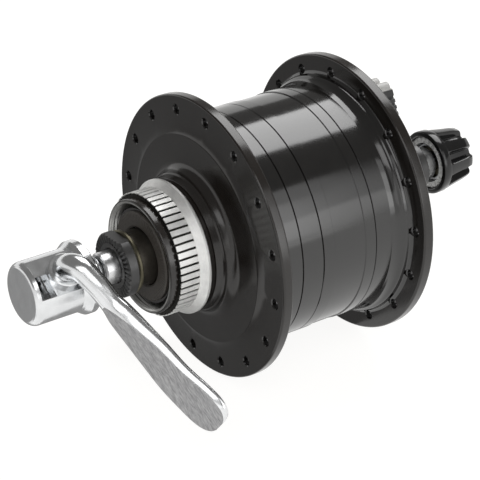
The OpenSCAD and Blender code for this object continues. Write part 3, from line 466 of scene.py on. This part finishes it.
def catmull(rows, steps):
    """Smooth rows of numbers: the curve passes through each row."""
    out = []
    last = len(rows) - 1
    for i in range(last):
        p0, p1, p2, p3 = rows[max(i - 1, 0)], rows[i], rows[i + 1], rows[min(i + 2, last)]
        for k in range(steps):
            t = k / steps
            out.append([
                0.5 * (2 * b + (c - a) * t + (2 * a - 5 * b + 4 * c - d) * t * t
                       + (3 * b - a - 3 * c + d) * t ** 3)
                for a, b, c, d in zip(p0, p1, p2, p3)
            ])
    out.append(list(rows[-1]))
    return out


def cam_point(x, y, z):
    """A point from the cam axis: x towards the arm's back, y along the hub, z along the cam axis."""
    return CAM_CENTRE + CAM_SIDE * x + Vector((0, y, 0)) + CAM_AXIS * z


def arm_point(s, v, z):
    """A point of the arm: s along it, v out of its flat side, z along the cam axis."""
    return CAM_CENTRE + ARM * s + OUT * v + CAM_AXIS * z


BEND_R, BEND_STEPS, BEND_STEP = 4.0, 6, 18


def lever_stations():
    """Sections of the arm: place as in arm_point, width, thickness, height of the flat and tilt."""
    neck, w, h, e = JOURNAL_D - 0.9, PADDLE_W, PADDLE_H, REACH
    z0, d = HEAD_Z + 0.05, JOURNAL_D - 0.1
    rows = [[0, 0, HEAD_Z - 0.3, d, d, d, 90]]
    for i in range(BEND_STEPS):
        a = 90 - i * BEND_STEP
        c, s = math.cos(math.radians(a)), math.sin(math.radians(a))
        rows.append([BEND_R - BEND_R * s, -0.1 * i, z0 + BEND_R * c, d - 0.12 * i, d - 0.14 * i, d, a])
    rows += [
        [5.6, -0.55, 12.1, neck + 0.1, neck, neck, -4],
        [9.5, -0.55, 11.85, neck - 0.1, neck - 0.2, 3.4, -6],
        [14.1, -0.4, 11.0, neck + 0.1, neck - 0.5, 2.8, -10],
        [17.5, -0.3, 10.1, neck + 2.0, neck, 2.35, -11],
        [21.6, -0.25, 9.2, w * 0.64, h + 1.0, 1.86, -11],
        [30, -0.05, 7.75, w * 0.85, h + 0.5, 1.15, -9],
        [e - 16.8, 0.4, 6.7, w * 0.97, h + 0.2, 0.75, -6],
        [e - 9.3, 0.35, 6.55, w * 1.05, h, 0.8, -4],
        [e - 5.2, 0.5, 6.8, w * 1.035, h - 0.1, 0.75, -3],
        [e - 2.4, 0.6, 7.0, w * 0.905, h - 0.6, 0.7, -3],
        [e - 0.7, 0.7, 7.0, w * 0.635, h - 1.2, 0.6, -3],
        [e, 0.75, 6.8, w * 0.31, h - 2.4, 0.4, -3],
    ]
    return rows


def bar(verts, faces, start, end, radius, sides=96):
    """A closed round bar between two points, added to a mesh's lists."""
    axis = (end - start).normalized()
    u = (CAM_SIDE - axis * axis.dot(CAM_SIDE)).normalized()
    w = axis.cross(u)
    base = len(verts)
    for centre in (start, end):
        for k in range(sides):
            a = 2 * math.pi * k / sides
            verts.append(centre + (u * math.cos(a) + w * math.sin(a)) * radius)
    for k in range(sides):
        n = (k + 1) % sides
        faces.append((base + k, base + n, base + sides + n, base + sides + k))
    faces.append(tuple(base + k for k in range(sides))[::-1])
    faces.append(tuple(base + sides + k for k in range(sides)))


FLAT_SIDES, ROUND_SIDES, ARM_STEPS = 20, 100, 16
WIDEST_BEHIND, WIDEST_EASE, DEEPEST_CUT = 0.42, 0.28, 0.995
FLAT_FROM, FLAT_SHARE = 13, 0.985


def lever_ring(width, thick, flat):
    """Points (across, up) round one section: first along the flat side, then round the back."""
    across, up = width / 2, thick / 2
    # Where the flat cuts deep, the widest line lies behind the middle, as on a forged blade
    cut_away = max(0.0, 1 - flat / up)
    middle = -WIDEST_BEHIND * cut_away / (cut_away + WIDEST_EASE) * up
    front, rear = up - middle, up + middle
    start = math.asin(min((flat - middle) / front, DEEPEST_CUT))
    points = []
    for i in range(FLAT_SIDES):
        w = math.cos(start) * (1 - 2 * i / FLAT_SIDES)
        points.append((across * w, min(middle + front * math.sqrt(1 - w * w), flat)))
    for i in range(ROUND_SIDES):
        a = math.pi - start + (math.pi + 2 * start) * i / ROUND_SIDES
        half = front if math.sin(a) > 0 else rear
        points.append((across * math.cos(a), middle + half * math.sin(a)))
    return points


CHEEK_Z, THROW, ECCENTRIC_R, PIVOT_R, PIVOT_END_Z = 2.65, 0.8, 2.7, 1.85, -8.1


def build_lever():
    """The lever: its arm with the brushed flat, and the shaft with its eccentric."""
    sides = FLAT_SIDES + ROUND_SIDES
    verts, tones = [], []
    rows = catmull(lever_stations(), ARM_STEPS)
    for s, v, z, width, thick, flat, tilt in rows:
        ct, st = math.cos(math.radians(tilt)), math.sin(math.radians(tilt))
        for w, h in lever_ring(width, thick, flat):
            verts.append(arm_point(s - w * st, v + h, z + w * ct))
    faces = tube_faces(len(rows), sides)
    for s, v, z, width, thick, flat, tilt in rows[:-1]:
        flattened = s > FLAT_FROM and flat < thick / 2 * FLAT_SHARE
        tones += [1 if flattened and k < FLAT_SIDES else 0 for k in range(sides)]
    bar(verts, faces, cam_point(0, 0, CHEEK_Z), cam_point(0, 0, HEAD_Z), JOURNAL_D / 2)
    bar(verts, faces, cam_point(0, THROW, -CHEEK_Z), cam_point(0, THROW, CHEEK_Z), ECCENTRIC_R)
    bar(verts, faces, cam_point(0, 0, PIVOT_END_Z), cam_point(0, 0, -CHEEK_Z), PIVOT_R)
    tones += [0] * (len(faces) - len(tones))
    obj = mesh_piece("lever", verts, faces, CHROME, "lever", 40.0,
                     tones=tones, more=(BRUSHED,))
    # A sharp line where the brushed flat meets the chrome
    sides_of = {}
    for p in obj.data.polygons:
        for key in p.edge_keys:
            sides_of.setdefault(key, set()).add(p.material_index)
    sharp = obj.data.attributes["sharp_edge"].data
    for edge in obj.data.edges:
        if len(sides_of[edge.key]) == 2:
            sharp[edge.index].value = True
    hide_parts("qr_lever")


WIRE_R, STEPS_PER_TURN = 0.4, 48


def volute(name, body, y_ends, r_ends, turns):
    """A conical coil spring, as a swept round wire."""
    (y0, y1), (r0, r1) = y_ends, r_ends
    steps, sides = int(turns * STEPS_PER_TURN), 12
    verts = []
    for i in range(steps + 1):
        t = i / steps
        a = 2 * math.pi * turns * t
        r, y = r0 + (r1 - r0) * t, y0 + (y1 - y0) * t
        for k in range(sides):
            b = 2 * math.pi * k / sides
            q = r + WIRE_R * math.cos(b)
            verts.append((q * math.cos(a), y + WIRE_R * math.sin(b), q * math.sin(a)))
    steel = MATERIALS["volute_spring_left"]
    return mesh_piece(name, verts, tube_faces(steps + 1, sides), steel, body, 60.0)


FLANGE_Y, FLANGE_BACK_Y = -26.75, -29.8
FAR_FLANGE_Y, FAR_FLANGE_BACK_Y = -71.85, -75.05
FLANGE_R, DRUM_R, CAP_R, BORE_R = 39.0, 31.9, 28.7, 28.4
CAP_FACE_Y, SEAT_END_Y, CONE_W = -25.6, -30.6, 2.3
CUP_LEFT_R, CARRIER_R, CUP_RIGHT_R = 12.2, 12.9, 12.0
BALL_D, BALL_RING_R, BALL_LEFT_Y, BALL_RIGHT_Y = 4.76, 8.6, -14.0, -76.2
CUP_HOLE_R = BALL_RING_R + 0.6
SPOKE_R, SPOKE_HOLE_R, SPOKES, SPOKE_PHASE = 35.0, 1.3, 16, 5.7
FLANGE_EDGE_R, DRUM_FILLET_R = 0.6, 2.5
GROOVE_1_Y, GROOVE_2_Y, GROOVE_3_Y = -37.9, -44.5, -61.55
RECESS_Y, RECESS_END_Y, RECESS_DEPTH, RECESS_SLOPE = -48.2, -58.25, 0.25, 0.2


def spoke_tools(y0, y1, phase):
    """Cutters for the spoke holes of one flange, countersunk on both faces."""
    tools = []
    sides, sink = 32, 0.25
    for i in range(SPOKES):
        a = math.radians(phase + i * 360 / SPOKES)
        cx, cz = SPOKE_R * math.cos(a), SPOKE_R * math.sin(a)
        verts = []
        rows = [(y1 + 1, sink), (y1, sink), (y1 - sink, 0), (y0 + sink, 0), (y0, sink), (y0 - 1, sink)]
        for y, wider in rows:
            for k in range(sides):
                b = 2 * math.pi * k / sides
                q = SPOKE_HOLE_R + wider
                verts.append((cx + q * math.cos(b), y, cz + q * math.sin(b)))
        tools.append((verts, tube_faces(len(rows), sides)))
    return tools


def joined(tools):
    """Several separate shapes as one."""
    verts, faces = [], []
    for v, f in tools:
        base = len(verts)
        verts += v
        faces += [tuple(base + i for i in face) for face in f]
    return verts, faces


def v_line(r, y, depth=0.3):
    """A fine V groove in a turned outline."""
    return [(r, y + depth * 0.7), (r - depth, y), (r, y - depth * 0.7)]


def build_hub_shell():
    """The shell: disc-side flange, stepped drum, far flange and the bore, with the spoke holes."""
    edge, fillet = FLANGE_EDGE_R, DRUM_FILLET_R
    outline = [(CAP_R, SEAT_END_Y), (CAP_R, CAP_FACE_Y - 0.15), (CAP_R + CONE_W, FLANGE_Y)]
    outline += arc(FLANGE_R - edge, FLANGE_Y - edge, edge, 90, 0, 6)
    outline += arc(FLANGE_R - edge, FLANGE_BACK_Y + edge, edge, 0, -90, 6)
    drum_start = len(outline)
    outline += arc(DRUM_R + fillet, FLANGE_BACK_Y - fillet, fillet, 90, 180, 20)
    outline += v_line(DRUM_R, GROOVE_1_Y) + v_line(DRUM_R, GROOVE_2_Y)
    recess_r = DRUM_R - RECESS_DEPTH
    outline += [(DRUM_R, RECESS_Y), (recess_r, RECESS_Y - RECESS_SLOPE)]
    outline += [(recess_r, RECESS_END_Y + RECESS_SLOPE), (DRUM_R, RECESS_END_Y)]
    outline += v_line(DRUM_R, GROOVE_3_Y)
    foot = catmull([
        (DRUM_R, FAR_FLANGE_Y + 5.2), (DRUM_R + 0.2, FAR_FLANGE_Y + 3.8),
        (DRUM_R + 0.65, FAR_FLANGE_Y + 2.7), (DRUM_R + 1.25, FAR_FLANGE_Y + 2.05),
    ], 6)
    outline += [tuple(p) for p in foot]
    outline += [(DRUM_R + 1.42, FAR_FLANGE_Y + 1.88), (DRUM_R + 1.52, FAR_FLANGE_Y + 1.65)]
    root = catmull([
        (DRUM_R + 1.6, FAR_FLANGE_Y + 1.2), (DRUM_R + 1.85, FAR_FLANGE_Y + 0.5),
        (DRUM_R + 2.6, FAR_FLANGE_Y),
    ], 6)
    outline += [tuple(p) for p in root]
    drum_end = len(outline) - 1
    outline += arc(FLANGE_R - edge, FAR_FLANGE_Y - edge, edge, 90, 0, 6)
    outline += arc(FLANGE_R - edge, FAR_FLANGE_BACK_Y + edge, edge, 0, -90, 6)
    back = catmull([
        (DRUM_R + 1.5, FAR_FLANGE_BACK_Y), (DRUM_R - 3, FAR_FLANGE_BACK_Y - 1.2),
        (DRUM_R - 9, FAR_FLANGE_BACK_Y - 3.4), (CUP_RIGHT_R + 4.2, FAR_FLANGE_BACK_Y - 5.9),
        (CUP_RIGHT_R + 3.2, FAR_FLANGE_BACK_Y - 7.2),
    ], 6)
    outline += [tuple(p) for p in back]
    seat_y, hole_end_y = BALL_RIGHT_Y + 3, BALL_RIGHT_Y + 4.6
    outline += [(CUP_RIGHT_R, FAR_FLANGE_BACK_Y - 7.5), (CUP_RIGHT_R, seat_y)]
    outline += [(CUP_HOLE_R, seat_y), (CUP_HOLE_R, hole_end_y)]
    outline += [(BORE_R - 1.6, hole_end_y), (BORE_R, hole_end_y + 1.6), (BORE_R, SEAT_END_Y)]
    verts, faces, places = turned(outline)
    tones = [0 if drum_start <= i < drum_end else 1 for i in places]
    tools = spoke_tools(FLANGE_BACK_Y, FLANGE_Y, SPOKE_PHASE)
    tools += spoke_tools(FAR_FLANGE_BACK_Y, FAR_FLANGE_Y, SPOKE_PHASE + 180 / SPOKES)
    obj = mesh_piece("drum_shell", verts, faces, BLACK_GLOSS, "hub", 32.0,
                     tools=[joined(tools)], tones=tones, more=(BLACK_FACE,))
    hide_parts("hub_shell")


THREAD_TURNS, THREAD_PITCH, THREAD_DEPTH, THREAD_Y = 5, 1.05, 0.35, BALL_LEFT_Y + 0.6


def build_end_cap():
    """The disc-side cap: its boss with the lock ring's thread, the spline's seat and the dished face."""
    boss_y, boss_r, thread_r, shoulder_y, stop_r = -8.1, 15.5, 14.4, -18.85, 18.1
    root_y, root_r = shoulder_y - 3.7, boss_r + 3.55
    outline = [(CUP_LEFT_R, boss_y - 1.5), (CARRIER_R, boss_y - 1.5)]
    outline += [(CARRIER_R, BALL_LEFT_Y), (thread_r, BALL_LEFT_Y)]
    bright_start = len(outline) - 1
    for i in range(THREAD_TURNS):
        y = THREAD_Y + i * THREAD_PITCH
        outline += [(thread_r, y), (thread_r + THREAD_DEPTH, y + 0.52)]
    outline += [(thread_r, boss_y - 0.25), (thread_r + 0.25, boss_y), (boss_r - 0.45, boss_y)]
    bright_end = len(outline) - 1
    outline += arc(boss_r - 0.4, boss_y - 0.4, 0.4, 90, 0, 5)
    outline += [(boss_r, shoulder_y), (stop_r, shoulder_y), (stop_r, shoulder_y - 1.1),
                (stop_r - 0.4, shoulder_y - 1.3), (stop_r, shoulder_y - 1.5),
                (root_r - 0.5, root_y + 0.4), (root_r, root_y)]
    outline += arc(root_r + 2.9, root_y + 0.1, 2.9, 180, 270, 20)
    inside_y, back_y, seat_y = CAP_FACE_Y - 3, BALL_LEFT_Y - BALL_D, BALL_LEFT_Y - 3
    outline += [(root_r + 5.6, CAP_FACE_Y), (CAP_R, CAP_FACE_Y), (CAP_R, SEAT_END_Y),
                (CAP_R - 2.2, SEAT_END_Y), (CAP_R - 2.2, inside_y), (boss_r - 1.5, inside_y),
                (CARRIER_R + 0.1, back_y - 0.3), (CUP_HOLE_R, back_y + 0.7), (CUP_HOLE_R, seat_y),
                (CUP_LEFT_R, seat_y)]
    verts, faces, places = turned(outline)
    tones = [1 if bright_start <= i < bright_end else 0 for i in places]
    obj = mesh_piece("cap_and_boss", verts, faces, BLACK_FACE, "hub", 32.0,
                     tones=tones, more=(BRIGHT_TURNED,))
    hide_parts("end_cap")


LOBES, SIDES_PER_LOBE, LOBE_PHASE = 8, 40, 131.0
LOBE_HALF, LOBE_EASE = 0.74, 0.30
# The nut cap's sections: place along the axle, radius of the crests, radius of the valleys
NUT_ROWS = [
    (-115.3, 0.0, 0.0), (-115.3, 4.2, 4.2), (-115.28, 6.1, 5.2), (-115.1, 6.9, 5.7),
    (-114.6, 7.4, 5.95), (-112.9, 7.8, 6.1), (-110.5, 8.17, 6.35), (-107.4, 8.72, 6.75),
    (-106.8, 8.85, 6.95), (-106.4, 8.9, 7.4), (-106.05, 8.95, 8.3), (-105.85, 9.0, 9.0),
    (-105.6, 9.1, 9.1), (-103.75, 9.1, 9.1), (-103.5, 9.03, 9.03), (-103.35, 8.88, 8.88),
    (-103.3, 8.65, 8.65), (-103.3, 7.85, 7.85), (-103.5, 7.62, 7.62), (-105.7, 7.62, 7.62),
    (-105.7, 5.62, 5.62), (-114.3, 5.62, 5.62), (-114.3, 0.0, 0.0),
]


def build_nut():
    """The nut's moulded cap: a round skirt and a tapered star of lobes with wide valleys."""
    sides = LOBES * SIDES_PER_LOBE
    verts, faces, rings = [], [], []
    for y, crest, valley in NUT_ROWS:
        if crest == 0.0:
            rings.append([len(verts)] * sides)
            verts.append((0.0, y, 0.0))
            continue
        rings.append(list(range(len(verts), len(verts) + sides)))
        for k in range(sides):
            d = abs((k / SIDES_PER_LOBE + 0.5) % 1.0 - 0.5) * 2
            t = min(max((LOBE_HALF - d) / LOBE_EASE, 0.0), 1.0)
            r = valley + (crest - valley) * t * t * (3 - 2 * t)
            a = math.radians(LOBE_PHASE) + 2 * math.pi * k / sides
            verts.append((r * math.cos(a), y, r * math.sin(a)))
    for a, b in zip(rings, rings[1:]):
        for k in range(sides):
            n = (k + 1) % sides
            faces.append(tuple(dict.fromkeys((a[k], a[n], b[n], b[k]))))
    black = MATERIALS["nut_cap"]
    obj = mesh_piece("nut_cap_moulded", verts, faces, black, "nut", 40.0)
    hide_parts("nut_cap")


build_lever()
build_hub_shell()
build_end_cap()
build_nut()
spring = volute("spring_lever_side", "housing", y_ends=(4.7, 10.2), r_ends=(3.45, 5.15), turns=3.5)
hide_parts("volute_spring_left")
spring = volute("spring_nut_side", "nut_slider", y_ends=(-104.65, -105.9), r_ends=(4.95, 5.15), turns=1.5)
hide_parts("volute_spring_right")
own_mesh(spring)


def stage_material(name, color, glow):
    """A matt studio surface that also glows by itself to camera, mirror and glass rays."""
    m = Mat(name)
    m.set(Roughness=0.9, Specular_IOR_Level=0.0)
    m.color(m.noise(30.0, 2.0, 0.5), color, color)
    path = m.new("ShaderNodeLightPath")
    seen = m.math("MAXIMUM", path.outputs["Is Camera Ray"], path.outputs["Is Glossy Ray"])
    seen = m.math("MAXIMUM", seen, path.outputs["Is Transmission Ray"])
    shine = m.new("ShaderNodeEmission")
    shine.inputs["Color"].default_value = (1, 0.995, 0.985, 1)
    m.link(m.math("MULTIPLY", seen, glow), shine.inputs["Strength"])
    add = m.new("ShaderNodeAddShader")
    m.link(m.bsdf.outputs[0], add.inputs[0])
    m.link(shine.outputs[0], add.inputs[1])
    m.link(add.outputs[0], m.out.inputs[0])
    return m.done()


def stage_mesh(name, verts, faces, material):
    """A piece of the studio, in metres."""
    mesh = bpy.data.meshes.new(name)
    mesh.from_pydata(verts, [], faces)
    mesh.update()
    obj = bpy.data.objects.new(name, mesh)
    scene.collection.objects.link(obj)
    obj.data.materials.append(material)
    return obj


FLOOR_Z = CAD_BOX[0].z - 0.0005
FLOOR_R, WALL_H, FLOOR_SIDES = 3.0, 1.0, 48
PAPER = stage_material("studio_paper", (0.25, 0.25, 0.248), 0.92)
turns = [2 * math.pi * k / FLOOR_SIDES for k in range(FLOOR_SIDES)]
ring = [(FLOOR_R * math.cos(a), FLOOR_R * math.sin(a)) for a in turns]
foot = [(x, y, FLOOR_Z) for x, y in ring]
top = [(x, y, FLOOR_Z + WALL_H) for x, y in ring]
after = [(k + 1) % FLOOR_SIDES for k in range(FLOOR_SIDES)]
panels = [(k, n, FLOOR_SIDES + n, FLOOR_SIDES + k) for k, n in enumerate(after)]
stage_mesh("floor", foot, [tuple(range(FLOOR_SIDES))], PAPER)
stage_mesh("backdrop", foot + top, panels, PAPER)

world = bpy.data.worlds.new("studio")
scene.world = world
world.use_nodes = True
sky = world.node_tree.nodes["Background"]
sky.inputs["Color"].default_value = (1.0, 0.985, 0.965, 1)
sky.inputs["Strength"].default_value = 0.2


def softbox(name, direction, distance, width, height, radiance, aim=(0.0, -0.045, 0.0)):
    """An area light of this radiance, in this direction from the object, turned towards it."""
    data = bpy.data.lights.new(name, "AREA")
    data.shape = "RECTANGLE"
    data.size, data.size_y = width, height
    data.energy = radiance * math.pi * width * height
    obj = bpy.data.objects.new(name, data)
    d = Vector(direction).normalized()
    side = d.cross(Vector((0, 1, 0))).normalized()
    along = d.cross(side)
    turn = Matrix((side, along, d)).transposed().to_4x4()
    obj.matrix_world = Matrix.Translation(Vector(aim) + d * distance) @ turn
    obj.visible_camera = False
    scene.collection.objects.link(obj)


softbox("light_top", (0.30, -0.51, 0.80), 0.9, 0.56, 0.6, 4.4)
softbox("light_side", (-0.86, -0.36, 0.39), 0.9, 0.80, 0.44, 1.05)
softbox("light_front", (-0.72, 0.49, 0.49), 1.3, 1.3, 0.9, 0.42)
softbox("light_lever", (-0.53, 0.42, 0.74), 0.9, 0.34, 0.9, 1.5, aim=(-0.03, 0.0, -0.01))
softbox("light_side_centre", (-0.88, -0.33, 0.34), 0.88, 0.48, 0.36, 1.1)

# A dark card on the floor that shows only in reflections and glows evenly by itself: a painted dark
# reflection of the floor beside the hub, seen in the black faces and the chrome
CARD = stage_material("dark_reflection_card", (0.02, 0.02, 0.02), 0.3)
CARD_Z = FLOOR_Z + 0.0003
CARD_EDGE = [(-0.008, -0.0715), (0.7, -0.0715), (0.7, 0.9), (0.0, 0.9), (0.0, 0.06), (0.03, 0.045),
             (-0.042, -0.0262), (-0.008, -0.0262)]
corners = [(x, y, CARD_Z) for x, y in CARD_EDGE]
card = stage_mesh("dark_reflection_card", corners, [tuple(range(len(corners)))], CARD)
card.visible_camera = card.visible_diffuse = card.visible_shadow = False

# The camera, solved from the photograph: lens in millimetres, directions and place in metres
camera = bpy.data.cameras.new("camera")
camera.lens = 159.80
camera.sensor_width = 36.0
camera.clip_start, camera.clip_end = 0.01, 20.0
cam = bpy.data.objects.new("camera", camera)
back = Vector((-0.7202, 0.4945, 0.4866))
right = Vector((-0.566, -0.8244, 0.0))
up = back.cross(right)
rot = Matrix((right.normalized(), up.normalized(), back.normalized())).transposed()
cam.matrix_world = Matrix.Translation(Vector((-0.4124, 0.2431, 0.27365))) @ rot.to_4x4()
scene.collection.objects.link(cam)
scene.camera = cam
scene.view_settings.view_transform = "Standard"
